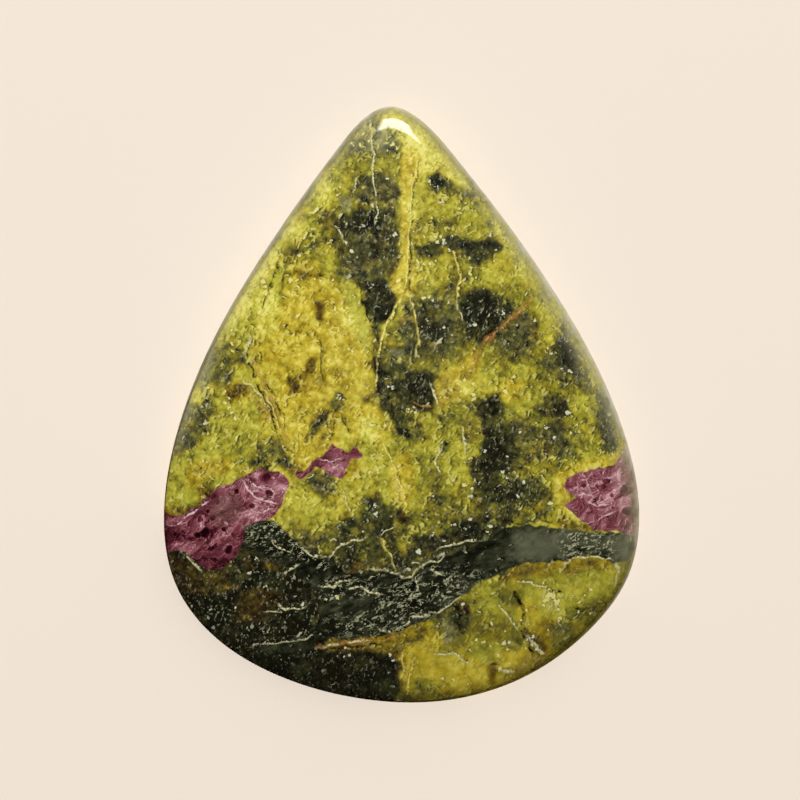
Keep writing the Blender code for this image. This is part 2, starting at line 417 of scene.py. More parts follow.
    ("brown", 3, (285,378, 304,376, 300,386, 292,393)),
    ("brown", 3, (306,358, 314,359, 313,371, 305,374)),
    ("brown", 4, (315,304, 323,304, 323,318, 316,319)),
    ("ochre", 5, (300,268, 320,267, 321,279, 300,280)),
    ("dusk", 4, (309,474, 320,470, 334,477, 336,492, 322,497, 310,488)),
    ("dark", 6, (364,498, 376,494, 384,500, 392,508, 396,520, 388,534, 370,540, 358,526, 360,508)),
    ("cream", 5, (388,464, 396,466, 405,486, 408,506, 398,508, 392,490)),
    ("umber", 3, (397,509, 405,510, 407,520, 399,522)),
    ("black", 2, (392,416, 400,428, 410,428, 421,423, 422,427, 412,434, 404,436, 396,428)),
    ("black", 1, (444,442, 447,442, 447,444, 444,444)),
    # The warm wedge beside the rust vein.
    ("tan", 4, (434,392, 436,380, 450,368, 462,360, 476,350, 480,360, 476,382, 460,400, 448,404, 440,405)),
    # The dark lower left: black, with a translucent brown.
    ("black", 7, (150,540, 200,560, 240,534, 262,526, 300,548, 335,560, 330,640, 300,652, 240,656,
        180,640)),
    ("umber", 4, (258,550, 282,552, 288,564, 268,570, 258,562)),
    ("umber", 6, (228,600, 262,586, 284,598, 276,616, 240,626)),
    ("jet", 6, (164,540, 190,556, 216,574, 240,560, 262,556, 250,590, 228,612, 250,660, 200,650, 160,600)),
    ("jet", 6, (286,580, 300,572, 314,584, 312,604, 292,604)),
    ("jet", 6, (246,622, 300,616, 322,632, 372,640, 388,650, 398,664, 399,682, 400,706, 300,706, 240,656)),
    ("ochre", 4, (374,634, 402,630, 404,662, 392,656, 374,650)),
    ("ochre", 4, (318,637, 380,634, 384,648, 350,652, 320,650)),
    ("olive", 5, (404,692, 450,692, 470,706, 404,708)),
    # Under the stichtite, which is lighter or darker where the ground is.
    ("bright", 6, (240,478, 270,466, 292,476, 286,500, 270,520, 250,518)),
    ("olive", 7, (166,518, 196,512, 216,506, 236,524, 236,552, 212,564, 186,550)),
    ("umber", 5, (155,552, 184,553, 202,569, 224,570, 244,552, 246,528, 256,524, 256,562, 236,590, 190,596,
        160,575)),
    ("brown", 4, (172,506, 186,508, 206,498, 208,506, 190,516, 168,520)),
    ("black", 4, (160,526, 178,524, 182,542, 160,544)),
    ("black", 4, (228,566, 244,564, 250,582, 232,584)),
    ("smoky", 6, (212,502, 232,490, 244,504, 238,522, 220,528, 208,514)),
    ("bright", 5, (580,474, 598,466, 614,472, 616,494, 604,516, 570,518, 567,500)),
    # The clouds of the lower right.
    ("dusk", 6, (430,614, 462,604, 472,618, 464,642, 454,648, 448,634, 434,630)),
    ("dark", 5, (448,608, 464,606, 470,618, 468,634, 456,630, 448,618)),
    ("umber", 3, (454,603, 466,602, 468,611, 456,614)),
    ("brown", 3, (487,663, 497,665, 496,682, 489,680)),
    # Smaller clouds and lights, laid over all of those.
    ("olive", 6, (458,420, 480,418, 480,440, 460,440)),
    ("dark", 3, (382,222, 397,224, 399,250, 398,270, 384,274)),
    ("black", 5, (456,522, 476,520, 494,536, 490,548, 468,552, 456,540)),
    ("black", 3, (356,218, 371,216, 374,230, 358,232)),
    ("bright", 4, (184,388, 200,386, 202,402, 186,404)),
    ("yellow", 5, (604,574, 628,574, 622,592, 604,596)),
    ("dusk", 5, (554,626, 574,626, 570,644, 552,648)),
    ("olive", 4, (417,486, 432,484, 434,502, 418,504)),
    ("moss", 3, (229,349, 239,348, 240,357, 230,358)),
    ("dark", 6, (418,320, 440,320, 440,340, 418,342)),
    ("dusk", 6, (338,258, 362,258, 362,280, 340,280)),
    ("moss", 6, (418,218, 440,218, 440,240, 418,240)),
    ("dark", 3, (260,468, 269,466, 270,478, 262,480)),
    ("bright", 6, (280,226, 300,216, 304,238, 284,244)),
    ("gold", 6, (260,400, 280,398, 282,420, 262,422)),
    ("olive", 5, (414,680, 432,678, 434,692, 416,694)),
    ("brown", 3, (198,488, 213,487, 214,499, 200,502)),
    ("tan", 7, (300,442, 320,440, 320,460, 302,458)),
    ("ochre", 5, (341,462, 358,460, 358,477, 343,478)),
    ("black", 6, (420,323, 438,322, 438,338, 420,339)),
    ("olive", 6, (441,281, 460,280, 462,298, 443,300)),
    ("dusk", 4, (449,289, 461,289, 461,301, 450,301)),
    ("black", 4, (380,300, 393,298, 392,318, 379,321)),
    ("black", 5, (482,321, 499,321, 498,337, 481,338)),
    ("tan", 3, (558,486, 572,488, 577,497, 570,504, 560,504)),
    ("dusk", 3, (409,430, 421,428, 421,440, 410,441)),
    ("yellow", 3, (440,209, 451,208, 451,220, 441,220)),
    ("bright", 5, (434,148, 448,156, 460,178, 444,178, 436,162)),
    ("gold", 5, (501,381, 519,381, 519,398, 502,399)),
    ("dark", 3, (349,529, 362,528, 363,541, 350,541)),
    ("smoky", 3, (337,198, 351,198, 352,211, 339,212)),
    ("bright", 4, (459,380, 471,379, 471,391, 460,392)),
    ("smoky", 3, (390,350, 400,350, 401,360, 391,360)),
    ("brown", 3, (523,628, 534,632, 546,646, 542,654, 530,646)),
    ("smoky", 4, (442,624, 450,622, 452,640, 444,646)),
)

# The band of darker serpentine that crosses the stone; and where it is black, where it is smooth, and
# where it has worm-like strokes. Each patch there has the softness of its edge and an outline.
BAND = (
    238,524, 262,519, 276,521, 286,532, 302,544, 318,556, 334,562, 352,574, 372,572, 392,570, 410,577,
    424,568, 440,560, 456,552, 474,545, 492,536, 504,528, 530,524, 560,528, 600,532, 640,536, 640,558,
    618,563, 590,555, 560,563, 530,564, 515,567, 500,575, 480,582, 465,595, 447,608, 434,618, 412,626,
    396,634, 360,636, 330,640, 314,650, 280,653, 252,648, 284,641, 310,632, 322,600, 300,575, 262,556,
    242,548,
)
BAND_BLACK = (
    (5, (306,628, 334,622, 336,650, 306,656)),
    (8, (252,544, 288,546, 318,560, 350,572, 340,584, 308,572, 262,562)),
    (6, (314,556, 336,562, 372,572, 400,574, 396,588, 352,584, 320,582)),
    (6, (456,552, 490,536, 506,526, 510,536, 484,552, 460,566)),
    (5, (404,560, 440,554, 462,554, 462,568, 440,572, 410,578)),
    (4, (402,584, 420,580, 424,598, 406,602)),
)
BAND_SMOOTH = (
    (9, (512,534, 560,530, 578,538, 576,552, 540,560, 518,562)),
    (5, (612,535, 640,538, 640,560, 614,558)),
    (4, (566,528, 600,532, 614,538, 612,552, 592,550, 566,542)),
)
BAND_WORMS = (
    (10, (384,590, 440,572, 478,570, 462,592, 430,612, 400,632, 336,634, 330,622, 366,616)),
    (6, (322,582, 352,578, 388,590, 384,598, 350,596, 324,592)),
    (6, (244,528, 276,524, 302,545, 330,562, 320,570, 290,556, 250,546)),
    (6, (564,532, 590,531, 614,538, 612,557, 590,554, 562,558)),
)

# Where the rest of the serpentine is smooth, with little mottle and few flecks.
CALM = (
    (14, (404,650, 440,640, 474,606, 500,590, 520,570, 560,566, 600,562, 640,566, 600,640,
        520,690, 430,712, 404,712)),
    (8, (250,658, 310,658, 388,652, 398,666, 398,704, 300,706)),
)

# Stichtite, the purple mineral: its patches at the left, in the middle and at the right.
STICHTITE = (
    (
        164,517, 180,516, 190,511, 200,504, 210,494, 222,486, 238,479, 250,473, 262,470, 272,470, 280,473,
        287,479, 288,488, 282,502, 274,516, 258,521, 242,527, 245,534, 241,548, 232,561, 216,570, 205,567,
        190,556, 183,551, 164,550,
    ),
    (
        294,474, 304,470, 312,462, 324,454, 332,443, 345,452, 357,448, 363,458, 351,460, 346,474, 339,480,
        328,472, 318,468, 310,474, 301,479,
    ),
    (
        564,482, 570,476, 590,469, 612,466, 625,457, 645,452, 645,540, 619,531, 599,531, 585,522, 572,512,
        564,507, 571,502, 576,497, 572,493, 565,488,
    ),
)

# Dark pits and rings in it: where, and how wide.
PITS = (
    (200,519,5), (208,511,4), (213,518,4), (205,533,8), (197,535,5), (229,549,6), (212,549,5), (268,494,6),
    (252,506,4), (236,492,4), (607,481,6), (612,495,4), (624,490,7), (628,512,7), (594,500,4), (584,486,4),
    (613,508,3), (224,530,4), (334,462,3),
)

# Pale grains that stand out: where, and how wide.
GRAINS = (
    # The top and the upper right.
    (346,147,5), (353,146,3), (360,145,4), (365,148,3), (369,141,3), (392,145,4), (389,151,4), (397,149,3),
    (404,143,4), (430,182,4), (434,187,4), (438,186,3), (340,188,3), (337,195,3), (353,196,3), (366,203,3),
    (372,206,3), (387,178,3), (395,176,3), (341,209,3), (386,216,3), (395,234,4), (352,251,4), (349,258,3),
    (372,285,3), (346,243,3), (425,237,3), (435,237,4), (441,236,4), (444,242,5), (437,242,4), (414,231,3),
    (412,243,3), (452,236,3), (459,230,3), (490,235,4), (496,250,3), (494,261,3), (449,251,4), (418,262,4),
    (424,265,4), (430,264,4), (436,261,3), (470,274,4), (476,278,3), (469,258,3), (459,209,4), (461,213,3),
    (442,217,3), (432,217,3), (424,298,4), (429,297,4), (433,301,4), (448,302,4), (474,325,5), (503,312,5),
    (497,311,3), (443,327,4), (443,359,3), (535,321,4), (525,328,3),
    # The left.
    (291,280,6), (297,288,5), (321,281,4), (315,279,3), (333,280,3), (263,282,4), (265,287,4), (266,294,3),
    (299,256,4), (335,309,4), (232,331,3), (232,344,4), (233,351,4), (352,351,4), (350,378,3), (358,379,3),
    (228,383,4), (225,392,3), (208,388,3), (206,422,6), (225,403,4), (229,408,4), (232,413,4), (235,419,4),
    (229,398,3), (202,407,3), (204,413,3),
    # The middle.
    (386,425,5), (388,387,3), (393,388,4), (407,410,5), (415,412,3), (415,460,4), (369,472,4), (378,471,4),
    (375,505,4), (376,514,5), (363,532,3), (454,525,5), (470,519,4), (433,534,4), (490,526,5), (487,532,3),
    (444,541,3), (419,552,6), (337,598,5), (325,600,4),
    # The right.
    (505,391,6), (568,413,6), (547,427,5), (554,437,4), (571,433,3), (520,432,3), (507,457,3), (503,472,5),
    (507,478,3), (523,482,4), (551,503,5), (518,496,4), (485,452,4), (472,488,4), (464,484,6), (562,368,5),
    (570,371,5), (552,354,4), (548,349,3), (473,384,4), (464,380,4), (458,384,4), (474,394,5), (461,391,3),
    # The lower left and the bottom.
    (250,573,5), (256,559,4), (236,608,3), (211,609,3), (303,604,4), (346,648,4), (344,657,3), (350,655,4),
    (390,655,4), (393,661,3), (389,672,3),
    # The lower right.
    (463,604,5), (492,624,4), (505,631,4), (504,643,5), (509,642,5), (484,642,4), (508,650,4), (480,612,4),
    (443,679,4), (455,665,3), (543,583,4), (549,590,5), (554,596,5), (547,600,5), (543,605,4), (559,601,5),
    (558,609,4), (527,610,4), (548,630,3), (578,612,4), (592,614,4), (525,648,4), (532,645,4), (537,650,4),
    (542,653,4), (534,637,5), (526,640,4), (500,670,5), (508,672,4), (512,677,4), (590,590,4), (585,595,3),
    (549,595,6), (556,602,6), (544,601,4), (561,596,4), (580,602,4), (574,596,3), (560,618,4), (470,650,3),
    (476,640,4), (498,655,3), (490,646,3), (515,652,3), (521,620,3), (529,624,3), (453,680,3), (468,684,3),
)

# Veins, by colour: half width in pixels, how strong, and the line.
VEINS = {
    "yellow": (
        (1.3, 1.0, (418,156, 414,176, 411,200, 409,230, 407,262, 406,284, 402,297)),
        (1.5, 1.0, (402,297, 397,305, 392,315, 386,326, 381,340, 379,352, 377,366)),
        (3.5, 0.5, (394,316, 388,326, 384,340, 382,350)),
        (0.9, 0.8, (377,366, 376,378, 376,388)),
        (1.4, 0.9, (408,286, 411,300, 414,310, 417,324)),
        (1.8, 0.6, (417,326, 418,342, 416,357)),
        (1.5, 0.9, (453,250, 456,262, 460,276, 458,290, 457,300)),
        (1.2, 0.9, (383,442, 387,452, 391,462, 396,472, 400,484, 404,496, 406,506)),
        (1.2, 0.9, (394,470, 397,484, 399,500)),
        (4.5, 0.7, (393,472, 397,488, 401,505)),
        (2.6, 0.9, (380,540, 384,545, 388,552)),
        (1.2, 0.8, (388,552, 392,560, 395,570)),
        (1.6, 0.9, (276,428, 281,442, 286,450, 294,457, 303,462, 314,456)),
        (1.4, 0.7, (264,388, 270,402, 276,418, 280,434)),
        (1.8, 0.7, (402,652, 404,666, 400,680)),
        (1.2, 0.7, (413,664, 409,680, 407,694)),
    ),
    "cream": (
        (1.0, 0.9, (373,133, 371,143, 374,155, 371,168, 373,178, 376,200, 378,212, 375,224)),
        (1.1, 0.8, (356,172, 355,183, 353,192)),
        (1.0, 0.7, (331,222, 338,228, 343,240)),
        (1.1, 0.7, (457,300, 459,310, 463,322)),
        (1.2, 0.7, (440,341, 435,346, 431,354)),
        (1.5, 0.8, (250,336, 247,345, 246,354)),
        (1.2, 0.9, (430,382, 432,390, 437,400, 438,406)),
        (1.3, 0.9, (305,551, 312,556, 322,558, 332,555, 341,545, 352,541, 368,538)),
        (1.0, 0.8, (381,536, 388,530, 396,527)),
        (1.7, 1.0, (368,570, 378,569, 392,572, 404,577, 411,576, 416,570)),
        (1.2, 0.9, (410,578, 419,582)),
        (1.2, 0.8, (416,571, 428,564, 438,561, 445,556)),
        (1.2, 0.8, (440,549, 452,545, 464,541, 478,540)),
        (1.3, 0.9, (321,587, 332,587, 342,582, 350,580)),
        (1.2, 0.9, (348,588, 362,587, 370,592, 384,595)),
        (1.2, 0.9, (278,604, 285,609, 298,610, 306,606)),
        (1.0, 0.7, (264,612, 274,611, 286,613)),
        (1.1, 0.7, (284,576, 290,569, 299,565)),
        (1.1, 0.6, (250,647, 270,643, 300,641, 314,634)),
        (1.2, 0.7, (408,616, 424,616, 438,612, 450,605, 462,596)),
        (1.1, 0.7, (378,628, 392,633, 402,626, 412,620)),
        (1.3, 0.9, (434,654, 445,655, 455,653, 462,660, 469,664)),
        (1.2, 0.8, (498,604, 505,612, 511,621, 519,630)),
        (1.2, 0.8, (515,583, 530,582, 538,586, 548,588)),
        (1.2, 0.7, (556,612, 558,622, 561,628)),
        (3.0, 0.8, (542,594, 549,600, 556,600)),
        (1.1, 0.9, (394,573, 401,579, 408,585)),
        (1.0, 0.9, (403,577, 411,581, 419,588)),
        (1.0, 0.8, (379,569, 373,574, 369,580)),
        (1.0, 0.8, (428,566, 436,572, 443,574)),
        (1.0, 0.8, (272,541, 280,548, 292,553)),
        (1.5, 1.0, (322,648, 332,646, 341,644)),
        (1.4, 1.0, (346,643, 356,641, 368,640)),
        (1.5, 0.9, (547,590, 550,600, 546,610)),
        (1.6, 0.9, (542,606, 550,602, 558,596)),
        (1.2, 0.9, (553,590, 556,600, 557,612)),
        (2.2, 0.8, (526,636, 534,644, 543,652)),
        (2.0, 0.8, (496,668, 506,671, 516,673)),
        (1.4, 0.8, (185,556, 193,563, 201,570)),
        (1.2, 0.8, (462,425, 464,440, 466,456)),
        (1.2, 0.8, (442,446, 438,456, 435,464, 440,474)),
        (1.1, 0.7, (560,566, 575,558, 598,557, 612,560)),
        (1.4, 0.6, (617,562, 618,575, 614,590)),
        (0.8, 0.5, (629,500, 630,520, 631,545)),
        (0.9, 0.7, (342,490, 346,500, 351,514)),
        (0.9, 0.6, (270,410, 264,398, 254,388, 243,380)),
    ),
    "rust": (
        (1.6, 0.7, (250,345, 253,360, 260,376, 267,392, 274,406, 280,424, 288,444)),
        (2.0, 0.6, (247,352, 250,365, 256,378, 262,392, 269,404, 275,418, 277,432)),
        (1.2, 0.6, (243,385, 254,398, 264,410, 271,424)),
        (3.0, 0.9, (532,298, 518,312, 505,324, 492,334, 482,345)),
        (2.4, 0.7, (482,345, 477,356, 470,370)),
        (2.6, 0.7, (436,402, 441,406, 447,408)),
        (1.5, 0.6, (412,402, 424,406, 436,406)),
        (3.2, 0.8, (316,648, 330,646, 345,643, 358,642, 372,640)),
        (2.4, 0.7, (372,640, 386,641, 398,636)),
        (1.2, 0.5, (285,468, 294,470, 303,476)),
        (1.4, 0.6, (241,521, 258,520, 274,514, 285,500, 289,484)),
        (1.4, 0.7, (376,388, 370,396, 364,401)),
        (1.3, 0.6, (604,562, 584,569, 564,574)),
    ),
    "crack": (
        (1.3, 0.9, (247,350, 250,364, 256,380, 263,396, 270,410, 275,428, 282,446)),
        (1.0, 0.8, (266,384, 274,398, 280,412, 287,430)),
        (1.1, 0.8, (282,246, 276,270, 268,292, 262,310)),
        (1.0, 0.7, (318,338, 322,352, 320,366, 324,384)),
        (1.0, 0.7, (340,412, 346,426, 350,440)),
        (1.2, 0.7, (282,246, 284,262, 282,290)),
        (1.2, 0.7, (278,262, 290,263, 300,262)),
        (1.6, 0.8, (308,277, 318,276, 332,278)),
        (1.1, 0.9, (357,278, 362,300, 368,316, 374,334)),
        (1.2, 0.9, (373,346, 374,360, 376,376)),
        (1.0, 0.8, (409,230, 410,252, 409,290)),
        (1.0, 0.6, (414,178, 412,206, 411,226)),
        (1.0, 0.7, (333,420, 332,432, 331,446)),
        (1.2, 0.9, (438,454, 434,460, 430,466)),
        (1.9, 1.0, (513,586, 518,600, 523,612, 520,628, 525,642, 534,654)),
        (1.3, 0.9, (452,604, 460,612, 458,624, 464,636)),
        (1.2, 0.9, (308,651, 330,650, 350,648, 370,645, 390,643)),
        (1.0, 0.8, (340,639, 352,639, 362,637)),
        (1.4, 0.9, (546,588, 554,592, 564,590)),
        (1.2, 0.8, (572,606, 582,612, 590,608)),
        (1.2, 0.7, (275,415, 270,425, 277,436, 284,446)),
        (1.3, 0.7, (240,524, 262,521, 276,516)),
        (1.1, 0.7, (405,433, 412,429, 420,424)),
        (1.2, 0.8, (488,664, 498,664, 510,672)),
        (1.0, 0.6, (554,592, 562,590)),
        (0.9, 0.6, (286,334, 298,332, 306,336)),
        (0.9, 0.6, (303,322, 306,332, 310,338)),
        (0.9, 0.5, (420,300, 428,316, 438,334)),
        (1.0, 0.7, (500,520, 514,524, 540,522, 556,522)),
    ),
    "pink": (
        (1.1, 0.9, (242,481, 248,490, 255,497, 263,500, 276,503)),
        (0.9, 0.8, (245,479, 253,485, 264,489)),
        (0.9, 0.8, (262,487, 271,489, 273,497)),
        (1.0, 0.7, (250,510, 262,513, 272,506)),
        (1.1, 0.8, (183,519, 192,513, 202,505, 208,501)),
        (1.0, 0.8, (168,525, 176,525, 183,521)),
        (1.3, 0.9, (577,495, 586,495, 592,495)),
        (0.9, 0.8, (587,478, 588,486, 592,493)),
        (0.9, 0.8, (603,480, 607,477, 611,480, 609,485)),
        (0.9, 0.7, (586,501, 597,507, 610,504)),
        (0.9, 0.7, (596,522, 606,514, 616,512)),
        (0.8, 0.8, (320,459, 330,462, 341,459)),
        (0.8, 0.7, (325,465, 335,468, 343,464)),
    ),
}


# ------------------------------------------------------------------ from marks to values


def places(run):
    """The places in a run of coordinates, as rows of x and y."""
    return np.reshape(run, (-1, 2)).astype(float)


def smooth_step(share):
    share = np.clip(share, 0, 1)
    return share * share * (3 - 2 * share)


def near(points, line, margin):
    """The numbers of the points within this margin of the line's own box."""
    low, high = line.min(axis=0) - margin, line.max(axis=0) + margin
    return np.flatnonzero(((points > low) & (points < high)).all(axis=1))


def inside_distance(points, outline):
    """How many pixels inside the outline each point lies. Outside, it is negative."""
    nearest = np.full(len(points), np.inf)
    inside = np.zeros(len(points), bool)
    for start, end in zip(outline, np.roll(outline, -1, axis=0)):
        along = end - start
        offset = points - start
        share = np.clip(offset @ along / (along @ along), 0, 1)
        nearest = np.minimum(nearest, np.hypot(*(offset - share[:, None] * along).T))
        straddles = (start[1] > points[:, 1]) != (end[1] > points[:, 1])
        crossing = offset[:, 1] * along[0] / (along[1] or 1) > offset[:, 0]
        inside ^= straddles & crossing
    return np.where(inside, nearest, -nearest)


def cover(points, outline, soft):
    """The points near a soft-edged patch, and how much it covers each of them, from 0 to 1."""
    outline = closed_curve(places(outline), OUTLINE_STEPS)
    chosen = near(points, outline, soft)
    return chosen, smooth_step(0.5 + inside_distance(points[chosen], outline) / (2 * soft))


def ground_values(points):
    ground = np.tile(GROUND["yellow"], (len(points), 1))
    for kind, soft, outline in PATCHES:
        chosen, share = cover(points, outline, soft)
        ground[chosen] += (np.array(GROUND[kind]) - ground[chosen]) * share[:, None]
    return ground


def patch_values(points, patches):
    """How much the patches cover each point, from 0 to 1."""
    values = np.zeros(len(points))
    for soft, outline in patches:
        chosen, share = cover(points, outline, soft)
        values[chosen] = np.maximum(values[chosen], share)
    return values


def edge_values(points, outlines, reach):
    """How many pixels inside the outlines each point lies, kept between -reach and reach."""
    values = np.full(len(points), -float(reach))
    for outline in outlines:
        outline = closed_curve(places(outline), OUTLINE_STEPS)
        chosen = near(points, outline, reach)
        distance = np.clip(inside_distance(points[chosen], outline), -reach, reach)
        values[chosen] = np.maximum(values[chosen], distance)
    return values


def pit_values(points):
    values = np.zeros(len(points))
    for *centre, width in PITS:
        distance = np.linalg.norm(points - centre, axis=1) / (width / 2)
        values = np.maximum(values, smooth_step(1.35 - distance / 1.6))
    return values


def grain_values(points):
    """How far inside a pale grain each point lies: 1 at its middle, a third at its edge, 0 outside."""
    values = np.zeros(len(points))
    for *centre, width in GRAINS:
        chosen = near(points, np.array([centre]), width)
        distance = np.linalg.norm(points[chosen] - centre, axis=1)
        values[chosen] = np.maximum(values[chosen], 1 - distance / (0.75 * width))
    return values


VEIN_REACH = 5.0  # pixels from a vein's line at which it is forgotten
VEIN_TAPER = 6.0  # pixels over which its ends fade


def vein_values(points, veins):
    """Rows of: pixels to the left of the nearest vein's line, its half width, and its strength."""
    values = np.tile((VEIN_REACH, 0.5, 0.0), (len(points), 1))
    for half_width, strength, line in veins:
        line = places(line)
        reach = VEIN_REACH + half_width
        chosen = near(points, line, reach)
        nearest = np.full(len(chosen), reach)
        aside = np.full(len(chosen), reach)
        travelled = np.zeros(len(chosen))
        run = 0.0
        for start, end in zip(line, line[1:]):
            along = end - start
            length = np.hypot(*along)
            offset = points[chosen] - start
            share = np.clip(offset @ along / length**2, 0, 1)
            gap = offset - share[:, None] * along
            distance = np.hypot(*gap.T)
            closer = distance < nearest
            side = np.sign(along[0] * offset[:, 1] - along[1] * offset[:, 0])
            nearest[closer] = distance[closer]
            aside[closer] = (side * distance)[closer]
            travelled[closer] = run + (share * length)[closer]
            run += length
        taper = np.minimum(travelled, run - travelled) / min(VEIN_TAPER, run / 3)
        held = strength * smooth_step(0.25 + taper) * smooth_step((reach - nearest) / 2.0)
        stronger = held > values[chosen, 2]
        kept = chosen[stronger]
        values[kept] = np.column_stack([aside, np.full(len(chosen), half_width), held])[stronger]
    return values


def wander(points, size, amount, seed):
    """A smooth random offset in x and y for each point: it turns over this size, in metres."""
    noise.seed_set(NOISE_SEED)
    start = Vector((seed, 2.7 * seed, -seed))
    offsets = [noise.noise_vector(Vector(point) / size + start)[:2] for point in points]
    return np.array(offsets) * amount


def photo_pixels(surface):
    """Where the photograph shows each point of the pattern, in pixels. Below the dome the pattern
    slants, bends and draws in a little, so that the sides and the back carry on from the front."""
    plan, height, depth = surface[:, :2], surface[:, 2], surface[:, 3]
    inwards = 1 - DRAWN_IN * depth[:, None]
    bend = wander(surface[:, :3], *DIP_BEND) * depth[:, None]
    pattern = plan * inwards + depth[:, None] * DIP + bend
    distance = (CAMERA_HEIGHT - height - depth)[:, None]
    shown = CAMERA_CENTRE + (pattern - CAMERA_CENTRE) * CAMERA_HEIGHT / distance
    return PHOTO_CENTRE + shown / PIXEL * (1, -1)


def pattern_values(surface):
    """Every value that the material reads, by name, for each point of the mesh."""
    exact = photo_pixels(surface)
    loose = exact
    for settings in LOOSE_WANDERS:
        loose = loose + wander(surface[:, :3], *settings)
    crisp = exact + wander(surface[:, :3], *CRISP_WANDER)
    stichtite = edge_values(crisp, STICHTITE, EDGE_REACH)
    band = edge_values(crisp, [BAND], EDGE_REACH)
    values = {
        "ground": ground_values(loose),
        "minerals": np.column_stack([stichtite, band, pit_values(crisp)]),
        "grains": np.column_stack([grain_values(exact), patch_values(loose, CALM), np.zeros(len(exact))]),
        "band": np.column_stack([patch_values(loose, patches)
                                 for patches in (BAND_BLACK, BAND_SMOOTH, BAND_WORMS)]),
    }
    for name, veins in VEINS.items():
        values[name] = vein_values(crisp, veins)
    return values


# ------------------------------------------------------------------ the mesh

RELIEF_STICHTITE = 0.000022  # the softer stichtite polishes lower
RELIEF_BANK = 4  # pixels over which the polish sinks to it
RELIEF_CRACK = 0.000025
RELIEF_POLISH = 0.000008  # the faint waves of a hand polish
POLISH_WAVE = 0.0016  # how long those waves are
RELIEF_DEPTH = 0.001  # how far under the dome's line the relief has faded out
SHARP_ANGLE = np.radians(35)

# The UV map: the front's length, the space between islands, and the rows that the side is cut into.
FRONT_ON_MAP = 0.735
ISLAND_MARGIN = 0.012
SIDE_ROWS = 3


def relief(surface, values):
    """How far the polish has sunk each point in from the CAD surface, in metres."""
    front = smooth_step(1 - surface.points[:, 3] / RELIEF_DEPTH)
    stichtite = smooth_step(values["minerals"][:, 0] / RELIEF_BANK + 0.5)
    aside, half_width, strength = values["crack"].T
    crack = strength * smooth_step(1.2 - np.abs(aside) / (half_width + 0.8))
    waves = np.array([noise.noise(Vector(point[:3]) / POLISH_WAVE) for point in surface.points])
    pits = values["minerals"][:, 2] * stichtite
    sunk = RELIEF_STICHTITE * (stichtite + pits) + RELIEF_CRACK * crack + RELIEF_POLISH * (waves + 1)
    return front * sunk


def uv_corners(surface):
    """The UV map: the front in plan, the side unrolled in rows, and the back in plan at a smaller scale."""
    place = surface.points[surface.faces]
    low, high = surface.points.min(axis=0), surface.points.max(axis=0)
    width, length = (high - low)[:2]
    scale = FRONT_ON_MAP / length
    uv = np.zeros((*surface.faces.shape, 2))
    front = surface.face_island == "front"
    uv[front] = (place[front][..., :2] - low[:2]) * scale + ISLAND_MARGIN
    uv[front, :, 1] += 1 - 2 * ISLAND_MARGIN - length * scale

    back = surface.face_island == "back"
    back_scale = (1 - 3 * ISLAND_MARGIN - width * scale) / width
    uv[back] = (place[back][..., :2] - low[:2]) * (-back_scale, back_scale)
    uv[back] += (1 - ISLAND_MARGIN, 1 - ISLAND_MARGIN - length * back_scale)

    side = surface.face_island == "side"
    turn = surface.turn[surface.faces[side]]
    turn += (turn.max(axis=1, keepdims=True) - turn > 0.5)
    row = np.minimum((turn.mean(axis=1) * SIDE_ROWS).astype(int), SIDE_ROWS - 1)[:, None]
    outline = surface.points[surface.ring == surface.face_ring[side].max()]
    around = np.linalg.norm(np.diff(outline[:, :2], axis=0), axis=1).sum()
    run = surface.run_out[surface.ring[surface.faces[side]]]
    row_height = (run.max() - run.min()) * scale + ISLAND_MARGIN
    uv[side, :, 0] = ISLAND_MARGIN * 2 + (turn - row / SIDE_ROWS) * around * scale
    uv[side, :, 1] = ISLAND_MARGIN + row * row_height + (run.max() - run) * scale
    return uv


def stone_object():
    surface = Surface()
    values = pattern_values(surface.points)
    mesh = bpy.data.meshes.new("stone_surface")
    mesh.from_pydata(surface.points[:, :3], [], surface.faces)
    normals = np.zeros(len(surface.points) * 3)
    mesh.vertex_normals.foreach_get("vector", normals)
    sunk = surface.points[:, :3] - normals.reshape(-1, 3) * relief(surface, values)[:, None]
    mesh.vertices.foreach_set("co", sunk.ravel())
    for name, value in values.items():
        attribute = mesh.attributes.new(name, "FLOAT_VECTOR", "POINT")
        attribute.data.foreach_set("vector", value.ravel())
    uv_map = mesh.uv_layers.new(name="OFBake")
    uv_map.data.foreach_set("uv", uv_corners(surface).ravel())
    mesh.materials.append(stone_material())
    mesh.shade_smooth()
    mesh.set_sharp_from_angle(angle=SHARP_ANGLE)
    mesh.validate()
    stone = bpy.data.objects.new("stone_surface", mesh)
    bpy.context.scene.collection.objects.link(stone)
    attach(stone, "root")
    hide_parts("stone")


# ------------------------------------------------------------------ the material

# The patterns are in millimetres across the stone, and are drawn out through its thickness.
PATTERN_SCALE = (1000, 1000, 450)

# How far, in millimetres, the shade of a fleck lies from it.
SHADE_OFFSET = (-0.075, 0.075, 0.0)

# What the lights make of a white floor, so that colours can be given as they look in the photograph.
LIGHT_GAIN = 1.14


def seen(red, green, blue):
    """The base colour that looks like this sRGB colour under the scene's light."""
    srgb = np.array((red, green, blue)) / 255
    linear = np.where(srgb < 0.04045, srgb / 12.92, ((srgb + 0.055) / 1.055) ** 2.4)
    return (*(linear / LIGHT_GAIN), 1.0)


